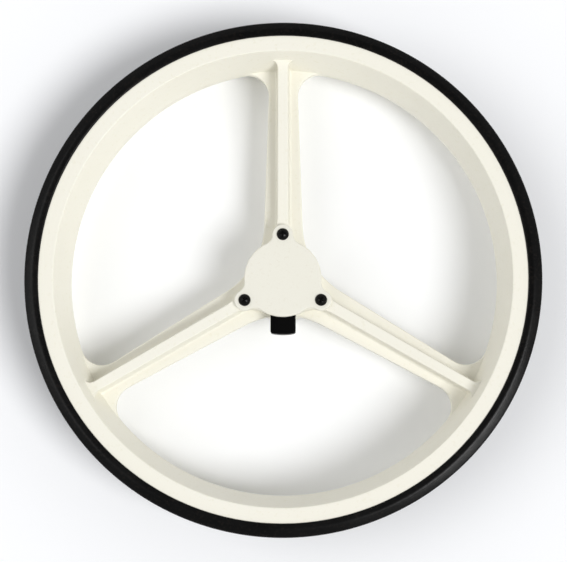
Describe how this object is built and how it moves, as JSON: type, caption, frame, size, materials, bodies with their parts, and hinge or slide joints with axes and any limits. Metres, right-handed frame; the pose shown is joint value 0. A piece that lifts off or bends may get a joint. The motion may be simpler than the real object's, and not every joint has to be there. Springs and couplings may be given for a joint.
{
  "type": "golf trolley wheel",
  "caption": "Spoked ivory plastic golf trolley wheel with a solid black tyre, a screwed hub cap, sealed ball bearings and a sprung quick-release tab at the hub.",
  "frame": {"origin": "wheel's centre, on the axle's axis in the middle plane of the rim", "axes": "+Z along the axle, out of the capped outer face; +Y from the axle away from the release tab, along one spoke; the wheel lies on the back of its tyre"},
  "size_m": [0.3, 0.3, 0.0556],
  "materials": {
    "tyre_rubber": "matte",
    "ivory_plastic": "satin",
    "black_steel": "satin",
    "black_plastic": "satin",
    "spring_steel": "satin",
    "zinc_steel": "satin",
    "bearing_steel": "polished",
    "cage_nylon": "matte",
    "seal_rubber": "matte"
  },
  "bodies": {
    "axle_core": {"bearing_spacer": "zinc_steel", "outboard_bearing_inner_ring": "bearing_steel", "inboard_bearing_inner_ring": "bearing_steel"},
    "wheel": {"wheel_moulding": "ivory_plastic", "tyre": "tyre_rubber", "hub_cap": "ivory_plastic", "cap_screws": "black_steel", "latch_spring": "spring_steel", "bearing_circlip": "spring_steel", "outboard_bearing_outer_ring": "bearing_steel", "outboard_bearing_front_seal": "seal_rubber", "outboard_bearing_rear_seal": "seal_rubber", "inboard_bearing_outer_ring": "bearing_steel", "inboard_bearing_front_seal": "seal_rubber", "inboard_bearing_rear_seal": "seal_rubber"},
    "latch": {"release_latch": "black_plastic"},
    "outboard_ball_set": {"outboard_bearing_balls": "bearing_steel", "outboard_bearing_cage": "cage_nylon"},
    "inboard_ball_set": {"inboard_bearing_balls": "bearing_steel", "inboard_bearing_cage": "cage_nylon"}
  },
  "joints": [
    {"name": "wheel_spin", "type": "hinge", "parent": "axle_core", "child": "wheel", "pos_m": [0, 0, 0], "axis": [0, 0, 1], "continuous": true},
    {"name": "release_slide", "type": "slide", "parent": "wheel", "child": "latch", "axis": [0, 1, 0], "range_m": [0, 0.004], "stiffness_N_per_m": 600, "springref_m": -0.006, "deforming": ["latch_spring"]},
    {"name": "outboard_cage_orbit", "type": "hinge", "parent": "axle_core", "child": "outboard_ball_set", "pos_m": [0, 0, 0.002], "axis": [0, 0, 1], "continuous": true},
    {"name": "inboard_cage_orbit", "type": "hinge", "parent": "axle_core", "child": "inboard_ball_set", "pos_m": [0, 0, -0.017], "axis": [0, 0, 1], "continuous": true}
  ],
  "couplings": [
    {"joint": "outboard_cage_orbit", "follows": "wheel_spin", "ratio": 0.619},
    {"joint": "inboard_cage_orbit", "follows": "wheel_spin", "ratio": 0.619}
  ]
}
